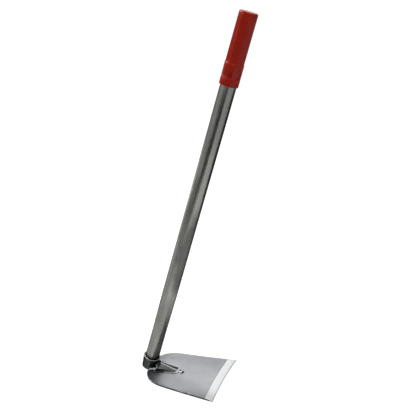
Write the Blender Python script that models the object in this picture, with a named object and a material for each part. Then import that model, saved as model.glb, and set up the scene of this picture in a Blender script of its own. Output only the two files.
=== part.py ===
"""Weeding hoe: a pressed steel blade welded to a collar, with a leaning tube handle and a moulded grip.

Metres, +Z up. The blade lies flat on z = 0 with its cutting edge towards +X.
The origin is the middle of the blade's flat underside.
Heights along the handle are measured on its axis, up from the blade's top face.
"""

import math

import bmesh
import bpy
from mathutils import Matrix, Vector

# Gap that separate pieces keep where they touch
SEAM = 0.0003

# Blade outline
BLADE_LENGTH = 0.1345
EDGE_WIDTH = 0.131
SHOULDER_WIDTH = 0.108
SHOULDER_LENGTH = 0.0435
SHOULDER_ROUNDNESS = 2.65
EDGE_HOLLOW = 0.0025

# Blade section
BLADE_THICKNESS = 0.0027
BEVEL_WIDTH = 0.0138
EDGE_THICKNESS = 0.0013

# Far corner of the cutting edge, which the grinding left longer and thicker
CORNER_REACH = 0.0018
CORNER_THICKNESS = 0.0023

# Turned-up rim of the blade, highest at its rear shoulders and lowest at the cutting edge
RIM_LIFT = 0.0052
RIM_FRONT_LIFT = 0.0009
RIM_BAND = 0.026
RIM_FALL = 2.5
RIM_FREE_MIDDLE = 0.010
RIM_FADE = 0.020

# Handle tube
TUBE_DIAMETER = 0.025
TUBE_WALL = 0.0015
TUBE_FOOT_DIAMETER = 0.0238
TUBE_NARROW_BELOW = 0.080
TUBE_FULL_ABOVE = 0.150
HANDLE_REACH = 0.619
HANDLE_LEAN = math.radians(15.85)
HANDLE_SETBACK = 0.0035

# Collar, a cone that narrows downwards and holds the tube's lower end
COLLAR_MOUTH_GAP = 0.0010
COLLAR_WALL = 0.0022
COLLAR_NARROWING = 0.0020
COLLAR_HEIGHT = 0.0225
COLLAR_CHAMFER = 0.0009
COLLAR_INNER_CHAMFER = 0.0005

# Folded gusset, with its square-cut rear edge in front of the collar
GUSSET_LENGTH = 0.0350
GUSSET_REAR_GAP = 0.0009
GUSSET_REAR_HEIGHT = 0.0111
GUSSET_TIP_HEIGHT = 0.0012
GUSSET_REAR_HALF_WIDTH = 0.0124
GUSSET_TIP_HALF_WIDTH = 0.0040
GUSSET_SHEET = 0.0020
GUSSET_FOLD_RADIUS = 0.0013
GUSSET_TIP_FOLD_RADIUS = 0.0006

# Weld beads, with the power that shapes their rounded faces
BEAD_FULLNESS = 1.4
COLLAR_WELD_LEG = 0.0036
COLLAR_WELD_ENDS = (math.radians(70), math.radians(34))
GUSSET_WELD_LEG = 0.0028
GUSSET_WELD_TIP_LEG = 0.0022
GUSSET_WELD_HEIGHT_SHARE = 0.7
ARCH_WELD_LEG = 0.0024
ARCH_WELD_DEPTH = 0.0010
ARCH_WELD_END = 0.62
ARCH_FOLD_SHARE = 0.3
HANDLE_WELD_LEG = 0.0024
NUGGET_LENGTH = 0.0098
NUGGET_WIDTH = 0.0088
NUGGET_HEIGHT = 0.0028
NUGGET_FORWARD_SHARE = 0.42

# Grip
GRIP_CLEARANCE = 0.00025
GRIP_WALL = 0.0018
GRIP_FLAT_WALL = 0.0010
GRIP_LENGTH = 0.1072
GRIP_END_WALL = 0.0025
GRIP_ROUND_LENGTH = 0.033
GRIP_GROOVE_HEIGHT = 0.012
GRIP_GROOVE_WIDTH = 0.0014
GRIP_GROOVE_DEPTH = 0.0004
GRIP_FLATS = 8
GRIP_TURN = math.radians(-12)
GRIP_TAPER = 0.0003
GRIP_EDGE_ROUNDING = 0.0016
GRIP_MOUTH_ROUNDING = 0.0007

# Fineness of the meshes
ROUND_SIDES = 64
SHOULDER_ROWS = 10
SIDE_ROWS = 7
BLADE_COLUMNS = 26
OUTLINE_STEPS = 40
GUSSET_STATIONS = 12

# Where the blade's rear row ends, as a share of the collar's foot radius: the collar covers that corner
REAR_STRAIGHT_SHARE = 0.9

# Places that follow from the sizes
REAR_X = -BLADE_LENGTH / 2
FRONT_X = BLADE_LENGTH / 2
SHOULDER_X = REAR_X + SHOULDER_LENGTH
AXIS_X = REAR_X - HANDLE_SETBACK
TUBE_RADIUS = TUBE_DIAMETER / 2
TUBE_FOOT_RADIUS = TUBE_FOOT_DIAMETER / 2
COLLAR_RADIUS = TUBE_FOOT_RADIUS + COLLAR_MOUTH_GAP + COLLAR_WALL
COLLAR_FOOT_RADIUS = COLLAR_RADIUS - COLLAR_NARROWING
COLLAR_START = (COLLAR_FOOT_RADIUS * math.sin(HANDLE_LEAN) - BLADE_THICKNESS) / math.cos(HANDLE_LEAN)
COLLAR_SLOPE = COLLAR_NARROWING / (COLLAR_HEIGHT - COLLAR_START)
TUBE_START = COLLAR_HEIGHT - (COLLAR_MOUTH_GAP - SEAM) / COLLAR_SLOPE
GRIP_BORE = TUBE_RADIUS + GRIP_CLEARANCE
GRIP_RADIUS = GRIP_BORE + GRIP_WALL
GRIP_START = HANDLE_REACH - GRIP_LENGTH
TUBE_END = HANDLE_REACH - GRIP_END_WALL - SEAM


def clear_scene():
    for old in list(bpy.data.objects):
        bpy.data.objects.remove(old, do_unlink=True)


def material(name, colour, metallic, roughness):
    made = bpy.data.materials.new(name)
    made.use_nodes = True
    shader = made.node_tree.nodes["Principled BSDF"]
    shader.inputs["Base Color"].default_value = (*colour, 1.0)
    shader.inputs["Metallic"].default_value = metallic
    shader.inputs["Roughness"].default_value = roughness
    return made


def steel(name, grey, roughness):
    return material(name, (grey, grey, grey * 1.02), 1.0, roughness)


def add_object(name, bm, finish, smooth_degrees=30):
    """Turns a bmesh into an object whose faces point out and whose round stretches are shaded smooth."""
    bmesh.ops.remove_doubles(bm, verts=bm.verts, dist=1e-7)
    bmesh.ops.recalc_face_normals(bm, faces=bm.faces)
    mesh = bpy.data.meshes.new(name)
    bm.to_mesh(mesh)
    bm.free()
    mesh.shade_smooth()
    mesh.set_sharp_from_angle(angle=math.radians(smooth_degrees))
    made = bpy.data.objects.new(name, mesh)
    bpy.context.scene.collection.objects.link(made)
    if finish is not None:
        mesh.materials.append(finish)
    return made


def skin(sections, looped=False):
    """A closed skin over sections with equal numbers of points, with both ends capped or looped."""
    bm = bmesh.new()
    rings = [[bm.verts.new(point) for point in section] for section in sections]
    following = rings[1:] + rings[:1] if looped else rings[1:]
    for ring, after in zip(rings, following):
        for i in range(len(ring)):
            j = (i + 1) % len(ring)
            bm.faces.new((ring[i], ring[j], after[j], after[i]))
    if not looped:
        bm.faces.new(rings[0])
        bm.faces.new(rings[-1])
    return bm


def turned(profile, sides=ROUND_SIDES):
    """A closed profile of (radius, height) points turned about the handle's axis."""
    sections = []
    for i in range(sides):
        angle = 2 * math.pi * i / sides
        sections.append([(r * math.cos(angle), r * math.sin(angle), h) for r, h in profile])
    return skin(sections, looped=True)


def as_cutter(obj):
    obj.hide_render = True
    obj.display_type = "WIRE"
    return obj


def cut(obj, cutter):
    modifier = obj.modifiers.new("cut by " + cutter.name, "BOOLEAN")
    modifier.operation = "DIFFERENCE"
    modifier.solver = "EXACT"
    modifier.object = cutter


# The blade's outline and surface

def side_half_width(x):
    """Half width of the blade's straight, slightly spreading sides."""
    spread = (EDGE_WIDTH - SHOULDER_WIDTH) / 2 / (FRONT_X - SHOULDER_X)
    return SHOULDER_WIDTH / 2 + spread * (x - SHOULDER_X)


def shoulder_point(angle):
    """(x, half width) on the superellipse of the shoulder, from the rear middle at 0 to the side."""
    power = 2 / SHOULDER_ROUNDNESS
    x = SHOULDER_X - SHOULDER_LENGTH * math.cos(angle) ** power
    return x, side_half_width(x) * math.sin(angle) ** power


def blade_outline():
    """Half of the outline, from the rear middle round the shoulder to the corner of the cutting edge."""
    quarter = math.pi / 2
    points = [shoulder_point(quarter * i / OUTLINE_STEPS) for i in range(OUTLINE_STEPS)]
    points.append((SHOULDER_X, side_half_width(SHOULDER_X)))
    points.append((FRONT_X, side_half_width(FRONT_X)))
    return [Vector(point) for point in points]


OUTLINE = blade_outline()


def rim_distance(x, y):
    """How far a point of the blade lies inside its side and rear edges."""
    point = Vector((x, abs(y)))
    nearest = RIM_BAND
    for start, end in zip(OUTLINE, OUTLINE[1:]):
        run = end - start
        along = min(max((point - start).dot(run) / run.length_squared, 0.0), 1.0)
        nearest = min(nearest, (start + run * along - point).length)
    return nearest


def blade_lift(x, y):
    """Height of the blade's underside over the ground."""
    along = min(max((x - REAR_X) / BLADE_LENGTH, 0.0), 1.0)
    across = min(max((abs(y) - RIM_FREE_MIDDLE) / RIM_FADE, 0.0), 1.0)
    middle_fade = across * across * (3 - 2 * across)
    edge_rise = (1 - rim_distance(x, y) / RIM_BAND) ** 2
    full_lift = RIM_FRONT_LIFT + (RIM_LIFT - RIM_FRONT_LIFT) * (1 - along) ** RIM_FALL
    return full_lift * middle_fade * edge_rise


def blade_top(x, y):
    return BLADE_THICKNESS + blade_lift(x, y)


def blade_rows():
    """Rows of the blade from rear to front, as (x, half width, share of the hollow, thickness)."""
    notch_half = REAR_STRAIGHT_SHARE * COLLAR_FOOT_RADIUS
    first = math.asin((notch_half / side_half_width(REAR_X)) ** (SHOULDER_ROUNDNESS / 2))
    rows = []
    for i in range(SHOULDER_ROWS):
        angle = first + (math.pi / 2 - first) * i / SHOULDER_ROWS
        x, half = shoulder_point(angle)
        rows.append((x, half, 0.0, BLADE_THICKNESS))
    bevel_x = FRONT_X - BEVEL_WIDTH
    for i in range(SIDE_ROWS + 1):
        share = i / SIDE_ROWS
        x = SHOULDER_X + (bevel_x - SHOULDER_X) * share
        rows.append((x, side_half_width(x), share * share, BLADE_THICKNESS))
    rows.append((FRONT_X, side_half_width(FRONT_X), 1.0, EDGE_THICKNESS))
    return rows


def build_blade(finish, notch_cutter):
    lower, upper = [], []
    bm = bmesh.new()
    for x, half, hollow, thickness in blade_rows():
        low_row, high_row = [], []
        for column in range(BLADE_COLUMNS + 1):
            side = 2 * column / BLADE_COLUMNS - 1
            y = half * side
            bent_x = x - EDGE_HOLLOW * hollow * (1 - side * side)
            if x == FRONT_X and column == BLADE_COLUMNS:
                bent_x += CORNER_REACH
                thickness = CORNER_THICKNESS
            lift = blade_lift(bent_x, y)
            low_row.append(bm.verts.new((bent_x, y, lift)))
            high_row.append(bm.verts.new((bent_x, y, lift + thickness)))
        lower.append(low_row)
        upper.append(high_row)
    for grid in (lower, upper):
        for row, after in zip(grid, grid[1:]):
            for j in range(BLADE_COLUMNS):
                bm.faces.new((row[j], row[j + 1], after[j + 1], after[j]))
    rims = ((lower[0], upper[0]), (lower[-1], upper[-1]))
    sides = tuple(([row[j] for row in lower], [row[j] for row in upper]) for j in (0, -1))
    for low_line, high_line in rims + sides:
        for j in range(len(low_line) - 1):
            bm.faces.new((low_line[j], low_line[j + 1], high_line[j + 1], high_line[j]))
    blade = add_object("blade", bm, finish, smooth_degrees=5)
    cut(blade, notch_cutter)
    return blade


# The handle, built upright about its own axis and leaned by its parent

def handle_axis():
    empty = bpy.data.objects.new("handle_axis", None)
    empty.location = (AXIS_X, 0, BLADE_THICKNESS)
    empty.rotation_euler = (0, HANDLE_LEAN, 0)
    bpy.context.scene.collection.objects.link(empty)
    return empty


def collar_radius(height):
    """Outside radius of the collar's cone, which its cutter and its welds follow beyond its ends."""
    return COLLAR_RADIUS + COLLAR_SLOPE * (height - COLLAR_HEIGHT)


def build_tube(finish):
    line = [
        (TUBE_FOOT_RADIUS, TUBE_START),
        (TUBE_FOOT_RADIUS, TUBE_NARROW_BELOW),
        (TUBE_RADIUS, TUBE_FULL_ABOVE),
        (TUBE_RADIUS, TUBE_END),
    ]
    inside = [(radius - TUBE_WALL, height) for radius, height in reversed(line)]
    return add_object("handle_tube", turned(line + inside), finish)


def build_collar(finish):
    below_chamfer = COLLAR_HEIGHT - COLLAR_CHAMFER
    below_inner_chamfer = COLLAR_HEIGHT - COLLAR_INNER_CHAMFER
    mouth_bore = COLLAR_RADIUS - COLLAR_WALL
    profile = [
        (COLLAR_FOOT_RADIUS, COLLAR_START),
        (collar_radius(below_chamfer), below_chamfer),
        (COLLAR_RADIUS - COLLAR_CHAMFER, COLLAR_HEIGHT),
        (mouth_bore + COLLAR_INNER_CHAMFER, COLLAR_HEIGHT),
        (collar_radius(below_inner_chamfer) - COLLAR_WALL, below_inner_chamfer),
        (COLLAR_FOOT_RADIUS - COLLAR_WALL, COLLAR_START),
    ]
    return add_object("collar", turned(profile), finish)


def grip_ring(height, radius, flat_share):
    """One ring of the grip's outside. flat_share runs from 0, round, to 1, with the full flats."""
    up_flats = max(height - GRIP_START - GRIP_ROUND_LENGTH, 0.0) / (GRIP_LENGTH - GRIP_ROUND_LENGTH)
    corner = radius - GRIP_TAPER * up_flats
    flat = GRIP_BORE + GRIP_FLAT_WALL - (GRIP_RADIUS - radius)
    step = 2 * math.pi / GRIP_FLATS
    ring = []
    for i in range(ROUND_SIDES):
        angle = 2 * math.pi * i / ROUND_SIDES
        off_middle = angle % step - step / 2
        faceted = min(corner, flat / math.cos(off_middle))
        r = corner + (faceted - corner) * flat_share
        turned_angle = angle + GRIP_TURN
        ring.append((r * math.cos(turned_angle), r * math.sin(turned_angle), height))
    return ring


def grip_outside():
    """Rings up the outside: rounded mouth, groove, round part, ledge, flats and rounded end."""
    groove = GRIP_START + GRIP_GROOVE_HEIGHT
    ledge = GRIP_START + GRIP_ROUND_LENGTH
    slope = GRIP_GROOVE_WIDTH / 3
    rings = []
    for i in range(4):
        bend = math.pi / 2 * i / 3
        height = GRIP_START + GRIP_MOUTH_ROUNDING * (1 - math.cos(bend))
        rings.append((height, GRIP_RADIUS - GRIP_MOUTH_ROUNDING * (1 - math.sin(bend)), 0.0))
    rings.append((groove, GRIP_RADIUS, 0.0))
    rings.append((groove + slope, GRIP_RADIUS - GRIP_GROOVE_DEPTH, 0.0))
    rings.append((groove + 2 * slope, GRIP_RADIUS - GRIP_GROOVE_DEPTH, 0.0))
    rings.append((groove + 3 * slope, GRIP_RADIUS, 0.0))
    rings.append((ledge, GRIP_RADIUS, 0.0))
    rings.append((ledge + GRIP_WALL / 2, GRIP_RADIUS, 1.0))
    for i in range(6):
        bend = math.pi / 2 * i / 5
        height = HANDLE_REACH - GRIP_EDGE_ROUNDING * (1 - math.sin(bend))
        rings.append((height, GRIP_RADIUS - GRIP_EDGE_ROUNDING * (1 - math.cos(bend)), 1.0))
    return [grip_ring(*ring) for ring in rings]


def build_grip(finish):
    def bore_ring(height):
        angles = [GRIP_TURN + 2 * math.pi * i / ROUND_SIDES for i in range(ROUND_SIDES)]
        return [(GRIP_BORE * math.cos(a), GRIP_BORE * math.sin(a), height) for a in angles]

    bore = [bore_ring(HANDLE_REACH - GRIP_END_WALL), bore_ring(GRIP_START)]
    return add_object("grip", skin(bore + grip_outside()), finish, smooth_degrees=20)


# The gusset, an upside-down V with a rounded fold

def distance_from_collar(point):
    """How far a point lies outside the collar's cone."""
    offset = Vector(point) - Vector((AXIS_X, 0, BLADE_THICKNESS))
    direction = Vector((math.sin(HANDLE_LEAN), 0, math.cos(HANDLE_LEAN)))
    height = offset.dot(direction)
    return (offset - direction * height).length - collar_radius(height)


def front_of_collar(y, z, distance):
    """The x in front of the collar at which a point with this y and z is the given distance from it."""
    low, high = AXIS_X, FRONT_X
    for _ in range(40):
        x = (low + high) / 2
        if distance_from_collar((x, y, z)) < distance:
            low = x
        else:
            high = x
    return x


GUSSET_REAR_X = front_of_collar(0, BLADE_THICKNESS + GUSSET_REAR_HEIGHT, GUSSET_REAR_GAP)
GUSSET_TIP_X = GUSSET_REAR_X + GUSSET_LENGTH
NUGGET_X = GUSSET_TIP_X + NUGGET_FORWARD_SHARE * NUGGET_LENGTH


def gusset_sizes(x):
    """(half width, height, fold radius) of the gusset's section at x."""
    share = (x - GUSSET_REAR_X) / GUSSET_LENGTH
    half = GUSSET_REAR_HALF_WIDTH + (GUSSET_TIP_HALF_WIDTH - GUSSET_REAR_HALF_WIDTH) * share
    height = GUSSET_REAR_HEIGHT + (GUSSET_TIP_HEIGHT - GUSSET_REAR_HEIGHT) * share
    fold = GUSSET_FOLD_RADIUS + (GUSSET_TIP_FOLD_RADIUS - GUSSET_FOLD_RADIUS) * share
    return half, height, fold


def face_slope(half, height, fold):
    """Slope of the gusset's faces, which run from the foot to touch the fold's circle."""
    rise = height - fold
    return math.atan2(rise, half) + math.asin(fold / math.hypot(half, rise))


def gusset_section(x, grow=0.0, base=SEAM):
    """The gusset's outside at x, from one foot over the fold to the other, grown by a margin."""
    half, height, fold = gusset_sizes(x)
    slope = face_slope(half, height, fold)
    foot = half + grow / math.sin(slope) - base / math.tan(slope)
    section = [(x, -foot, BLADE_THICKNESS + base)]
    for i in range(9):
        angle = slope * (i / 4 - 1)
        y = (fold + grow) * math.sin(angle)
        z = BLADE_THICKNESS + height - fold + (fold + grow) * math.cos(angle)
        section.append((x, y, z))
    section.append((x, foot, BLADE_THICKNESS + base))
    return section


def build_gusset(finish):
    stations = [GUSSET_REAR_X + GUSSET_LENGTH * i / GUSSET_STATIONS for i in range(GUSSET_STATIONS + 1)]
    gusset = add_object("gusset", skin([gusset_section(x) for x in stations]), finish)
    cutter_x = GUSSET_REAR_X - SEAM
    half, height, fold = gusset_sizes(cutter_x)
    slope = face_slope(half, height, fold)
    inner_half = half - GUSSET_SHEET / math.sin(slope)
    inner_height = height - GUSSET_SHEET / math.cos(slope)
    fall = (GUSSET_REAR_HEIGHT - GUSSET_TIP_HEIGHT) / GUSSET_LENGTH
    narrowing = (GUSSET_REAR_HALF_WIDTH - GUSSET_TIP_HALF_WIDTH) / GUSSET_LENGTH
    run = inner_height / fall
    below = BLADE_THICKNESS - SEAM
    end_half = inner_half - narrowing * run
    rear = [
        (cutter_x, -inner_half, below),
        (cutter_x, 0, BLADE_THICKNESS + inner_height),
        (cutter_x, inner_half, below),
    ]
    front = [
        (cutter_x + run, -end_half, below),
        (cutter_x + run, 0, BLADE_THICKNESS),
        (cutter_x + run, end_half, below),
    ]
    hollow = as_cutter(add_object("gusset_hollow_cutter", skin([rear, front]), None))
    cut(gusset, hollow)
    return gusset


# Weld beads. Each station of a bead is a function that gives the point at stated reaches from two faces.

def bead_section(point_at, leg):
    """Root, then a rounded face from one toe to the other."""
    section = [point_at(SEAM, SEAM)]
    for i in range(5):
        angle = math.pi / 2 * i / 4
        first = SEAM + leg * math.cos(angle) ** BEAD_FULLNESS
        second = SEAM + leg * math.sin(angle) ** BEAD_FULLNESS
        section.append(point_at(first, second))
    return section


def collar_foot_point(angle, from_collar, from_blade):
    """Point beside the collar's foot. The angle goes round the handle's axis, from the cutting edge."""
    up_axis = 0.0
    for _ in range(8):
        radius = collar_radius(up_axis) + from_collar
        y = radius * math.sin(angle)
        forward = radius * math.cos(angle)
        x = AXIS_X + up_axis * math.sin(HANDLE_LEAN) + forward * math.cos(HANDLE_LEAN)
        z = blade_top(x, y) + from_blade
        up_axis = (z - BLADE_THICKNESS + forward * math.sin(HANDLE_LEAN)) / math.cos(HANDLE_LEAN)
    return x, y, z


def build_collar_weld(name, side, finish):
    start, end = COLLAR_WELD_ENDS
    sections = []
    for i in range(13):
        angle = side * (start + (end - start) * i / 12)

        def point_at(from_collar, from_blade, angle=angle):
            return collar_foot_point(angle, from_collar, from_blade)

        sections.append(bead_section(point_at, COLLAR_WELD_LEG))
    return add_object(name, skin(sections), finish)


def build_gusset_weld(name, side, finish):
    end_x = NUGGET_X - NUGGET_LENGTH / 2 - SEAM
    sections = []
    for i in range(11):
        share = i / 10
        x = GUSSET_REAR_X + (end_x - GUSSET_REAR_X) * share
        leg = GUSSET_WELD_LEG + (GUSSET_WELD_TIP_LEG - GUSSET_WELD_LEG) * share
        half, height, fold = gusset_sizes(x)
        slope = face_slope(half, height, fold)

        def point_at(from_face, from_blade, x=x, half=half, slope=slope):
            y = half - from_blade / math.tan(slope) + from_face / math.sin(slope)
            return x, side * y, blade_top(x, y) + from_blade

        sections.append(bead_section(point_at, min(leg, GUSSET_WELD_HEIGHT_SHARE * height)))
    return add_object(name, skin(sections), finish)


def gusset_edge(share, outward):
    """(y, z) at the gusset's rear edge, moved out from its face.

    share runs from -1, near foot, over the fold to 1.
    """
    half, height, fold = gusset_sizes(GUSSET_REAR_X)
    slope = face_slope(half, height, fold)
    angle = slope * min(max(share / ARCH_FOLD_SHARE, -1.0), 1.0)
    down_face = max(abs(share) - ARCH_FOLD_SHARE, 0.0) / (1 - ARCH_FOLD_SHARE) * (height - fold)
    y = (fold + outward) * math.sin(angle) + math.copysign(down_face / math.tan(slope), share)
    z = height - fold + (fold + outward) * math.cos(angle) - down_face
    return y, BLADE_THICKNESS + z


def arch_section(share):
    """Section of the weld that fills the gap behind the gusset's rear edge and laps over its face."""
    edge_y, edge_z = gusset_edge(share, SEAM)
    lap = GUSSET_REAR_X + ARCH_WELD_LEG - front_of_collar(edge_y, edge_z, SEAM)
    section = []
    for i in range(6):
        angle = math.pi / 2 * i / 5
        y, z = gusset_edge(share, SEAM + ARCH_WELD_LEG * math.cos(angle) ** BEAD_FULLNESS)
        x = front_of_collar(y, z, SEAM) + lap * math.sin(angle) ** BEAD_FULLNESS
        section.append((x, y, z))
    deep_y, deep_z = gusset_edge(share, -ARCH_WELD_DEPTH)
    section.append((GUSSET_REAR_X - SEAM, edge_y, edge_z))
    section.append((GUSSET_REAR_X - SEAM, deep_y, deep_z))
    section.append((front_of_collar(deep_y, deep_z, SEAM), deep_y, deep_z))
    return section


def build_arch_weld(finish):
    sections = [arch_section(ARCH_WELD_END * (i / 8 - 1)) for i in range(17)]
    return add_object("gusset_collar_weld", skin(sections), finish)


def build_nugget(finish):
    """A dome of weld that covers the gusset's tip."""
    bm = bmesh.new()
    bmesh.ops.create_uvsphere(bm, u_segments=28, v_segments=16, radius=0.5)
    ball = bm.verts[:] + bm.edges[:] + bm.faces[:]
    bmesh.ops.bisect_plane(bm, geom=ball, plane_co=(0, 0, 0), plane_no=(0, 0, -1), clear_outer=True)
    bmesh.ops.holes_fill(bm, edges=[edge for edge in bm.edges if edge.is_boundary])
    size = Matrix.Diagonal((NUGGET_LENGTH, NUGGET_WIDTH, 2 * NUGGET_HEIGHT, 1))
    place = Matrix.Translation((NUGGET_X, 0, BLADE_THICKNESS + SEAM))
    bmesh.ops.transform(bm, matrix=place @ size, verts=bm.verts)
    nugget = add_object("gusset_tip_weld", bm, finish)
    below = -2 * SEAM
    tip_slot = skin(
        [
            gusset_section(GUSSET_TIP_X - NUGGET_LENGTH, SEAM, below),
            [(x + SEAM, y, z) for x, y, z in gusset_section(GUSSET_TIP_X, SEAM, below)],
        ]
    )
    cut(nugget, as_cutter(add_object("tip_slot_cutter", tip_slot, None)))
    return nugget


def build_handle_weld(finish):
    """A ring of weld inside the collar, under the tube's square-cut end."""

    def point_at(from_wall, from_tube):
        height = TUBE_START - from_tube
        return collar_radius(height) - COLLAR_WALL - from_wall, height

    return add_object("handle_weld", turned(bead_section(point_at, HANDLE_WELD_LEG)), finish)


def main():
    clear_scene()
    blade_steel = steel("blade_steel", 0.42, 0.38)
    collar_steel = steel("collar_steel", 0.10, 0.42)
    tube_steel = steel("tube_steel", 0.30, 0.34)
    weld_steel = steel("weld_steel", 0.34, 0.40)
    grip_plastic = material("grip_plastic", (0.32, 0.012, 0.010), 0.0, 0.24)

    axis = handle_axis()
    notch_ends = (-COLLAR_HEIGHT, 2 * COLLAR_HEIGHT)
    notch_line = [(collar_radius(height) + SEAM, height) for height in notch_ends]
    notch_profile = [(0.0, -COLLAR_HEIGHT)] + notch_line + [(0.0, 2 * COLLAR_HEIGHT)]
    notch = as_cutter(add_object("collar_space_cutter", turned(notch_profile), None))

    build_blade(blade_steel, notch)
    build_gusset(blade_steel)
    handle_pieces = [
        notch,
        build_collar(collar_steel),
        build_tube(tube_steel),
        build_grip(grip_plastic),
        build_handle_weld(weld_steel),
    ]
    for piece in handle_pieces:
        piece.parent = axis
    build_collar_weld("collar_weld_near", -1, weld_steel)
    build_collar_weld("collar_weld_far", 1, weld_steel)
    build_gusset_weld("gusset_weld_near", -1, weld_steel)
    build_gusset_weld("gusset_weld_far", 1, weld_steel)
    build_arch_weld(weld_steel)
    build_nugget(weld_steel)


main()
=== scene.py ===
"""Looks of the weeding hoe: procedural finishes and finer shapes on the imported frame, in a pale studio."""
import math

import bmesh
import bpy
from mathutils import Matrix, Vector, noise


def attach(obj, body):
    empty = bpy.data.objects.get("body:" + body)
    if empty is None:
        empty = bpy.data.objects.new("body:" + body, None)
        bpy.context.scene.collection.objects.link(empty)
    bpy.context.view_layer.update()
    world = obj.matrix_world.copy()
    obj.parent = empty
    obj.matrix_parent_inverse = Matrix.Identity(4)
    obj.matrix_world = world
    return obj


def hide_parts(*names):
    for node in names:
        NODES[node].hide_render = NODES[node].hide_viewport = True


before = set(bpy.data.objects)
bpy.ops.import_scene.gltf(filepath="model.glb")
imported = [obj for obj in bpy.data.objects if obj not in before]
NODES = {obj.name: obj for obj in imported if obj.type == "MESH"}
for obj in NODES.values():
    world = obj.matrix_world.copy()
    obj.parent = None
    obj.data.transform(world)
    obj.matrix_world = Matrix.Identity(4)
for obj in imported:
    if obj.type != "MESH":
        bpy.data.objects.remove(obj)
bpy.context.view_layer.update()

SCENE = bpy.context.scene

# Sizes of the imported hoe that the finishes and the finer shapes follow, in metres
BLADE_TOP = 0.0027
FRONT_X = 0.06725
AXIS_X = -0.07075
LEAN = math.radians(15.85)
EDGE_HALF = 0.0655
EDGE_HOLLOW = 0.0025
BEVEL_WIDTH = 0.0138
GUSSET_REAR_X = -0.0520
GUSSET_TIP_X = -0.0170
GUSSET_REAR_HALF = 0.0124
GUSSET_TIP_HALF = 0.0040

# The blade's own form
REAR_X = -0.06725
EDGE_WIDTH = 0.13099
SHOULDER_WIDTH = 0.108
SHOULDER_LENGTH = 0.0435
SHOULDER_ROUNDNESS = 2.65
EDGE_THICKNESS = 0.0013
CORNER_REACH = 0.0018
CORNER_THICKNESS = 0.0023
RIM_LIFT = 0.0052
RIM_FRONT_LIFT = 0.0009
RIM_BAND = 0.026
RIM_FALL = 2.5
RIM_FREE_MIDDLE = 0.010
RIM_FADE = 0.020
REAR_HALF = 0.0118
NOTCH_RADIUS = 0.0128
NOTCH_DEPTH = 0.04
NOTCH_SIDES = 96
RIM_ROUNDING = 0.0004
RIM_ROUNDING_STEPS = 3
OUTLINE_STEPS = 80
SHOULDER_ROWS = 40
SIDE_ROWS = 24
BEVEL_ROWS = 4
BLADE_COLUMNS = 64

# The grip's own form, heights along the handle's axis
GRIP_START = 0.5118
GRIP_END = 0.619
GRIP_END_WALL = 0.0025
GRIP_BORE = 0.01275
GRIP_RADIUS = 0.01480
GRIP_FLAT = 0.01400
GRIP_LEDGE = 0.033
GRIP_LEDGE_HEIGHT = 0.0010
GRIP_GROOVE = 0.0127
GRIP_GROOVE_HALF = 0.0009
GRIP_GROOVE_DEPTH = 0.0004
GRIP_GROOVE_ROUNDNESS = 1.5
GRIP_FLATS = 8
GRIP_TURN = math.radians(-12)
GRIP_TAPER = 0.0003
GRIP_CORNER_BLEND = 0.0005
GRIP_TOP_ROUNDING = 0.0026
GRIP_TOP_FACE_INSET = 0.004
GRIP_MOUTH_ROUNDING = 0.0008
GRIP_SIDES = 128
MOUTH_STEPS = 6
GROOVE_STEPS = 16
LEDGE_STEPS = 8
FLAT_STEPS = 12
TOP_STEPS = 9

# Weld beads: mesh size, how far the metal runs out over its neighbours, ripples and lumps
WELD_CELL = 0.00022
WELD_SPREAD = 0.00034
ROUNDER_PASSES = 8
RIPPLE_PITCH = 0.0016
RIPPLE_DEPTH = 0.00027
RIPPLE_CURVE = 0.7
RIPPLE_WANDER = 0.35
WANDER_SCALE = 420
LUMP_HEIGHT = 0.00012
LUMP_SCALE = 700
LUMP_GRADES = (1.0, 2.0, 3)
GUSSET_BEAD_STRETCH = 1.06
GUSSET_BEAD_MIDDLE = 0.0012
GUSSET_BEAD_LEG = 0.0014
COLLAR_BEAD_MIDDLE = 0.0016
COLLAR_BEAD_RADIUS = 0.0145
BEAD_LEG = 0.002
ARCH_RADIUS = 0.010
NUGGET_HALF = 0.003

# Run of weld metal from the collar's foot up behind the gusset's rear edge: places with radii on the
# near side, mirrored to the far side
CORNER_RUN = (
    ((-0.0577, -0.0078, 0.0036), 0.0012),
    ((-0.0562, -0.0080, 0.0042), 0.0013),
    ((-0.0547, -0.0079, 0.0052), 0.0014),
    ((-0.0533, -0.0077, 0.0066), 0.0014),
    ((-0.0529, -0.0071, 0.0082), 0.0013),
    ((-0.0531, -0.0062, 0.0097), 0.0012),
)

# The nugget at the gusset's tip sits a little forward and to the near side, and is flattened
TIP_SHIFT = (0.0014, -0.0012)
TIP_FLATNESS = 0.8

# Tones of the finishes, a pair from its dark to its pale end. One number is a grey.
BLADE_TONES = ((0.425, 0.440, 0.462), (0.50, 0.515, 0.540))
GROUND_TONES = ((0.92, 0.93, 0.95), (0.99, 1.0, 1.0))
SHOULDER_SHADE_TONES = (0.42, 0.82)
CUT_EDGE_TONES = ((0.006, 0.006, 0.007), (0.030, 0.030, 0.032))
WORN_AND_LIT_RIM = (0.72, 0.73, 0.74)
BURNT_AND_SHADED_TINT = (0.22, 0.225, 0.22)
TUBE_TONES = ((0.13, 0.134, 0.124), (0.21, 0.214, 0.200))
TUBE_LINE_TONES = ((0.07, 0.07, 0.065), (0.32, 0.32, 0.30))
TUBE_CLOUD_TONES = ((0.07, 0.073, 0.066), (0.28, 0.28, 0.26))
TUBE_GRAZING_TINT = (0.22, 0.22, 0.22, 1)
COLLAR_TONES = ((0.010, 0.011, 0.010), (0.066, 0.071, 0.064))
WORN_AND_LIT_COLLAR_TONES = ((0.50, 0.52, 0.50), (0.78, 0.80, 0.78))
COLLAR_GRAZING_TINT = (0.25, 0.25, 0.25, 1)
GUSSET_TONES = ((0.13, 0.135, 0.14), (0.28, 0.29, 0.30))
GUSSET_HIGHLIGHT_TONES = ((0.78, 0.79, 0.80), (0.95, 0.96, 0.96))
WELD_TONES = ((0.30, 0.305, 0.30), (0.78, 0.79, 0.78))
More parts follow.
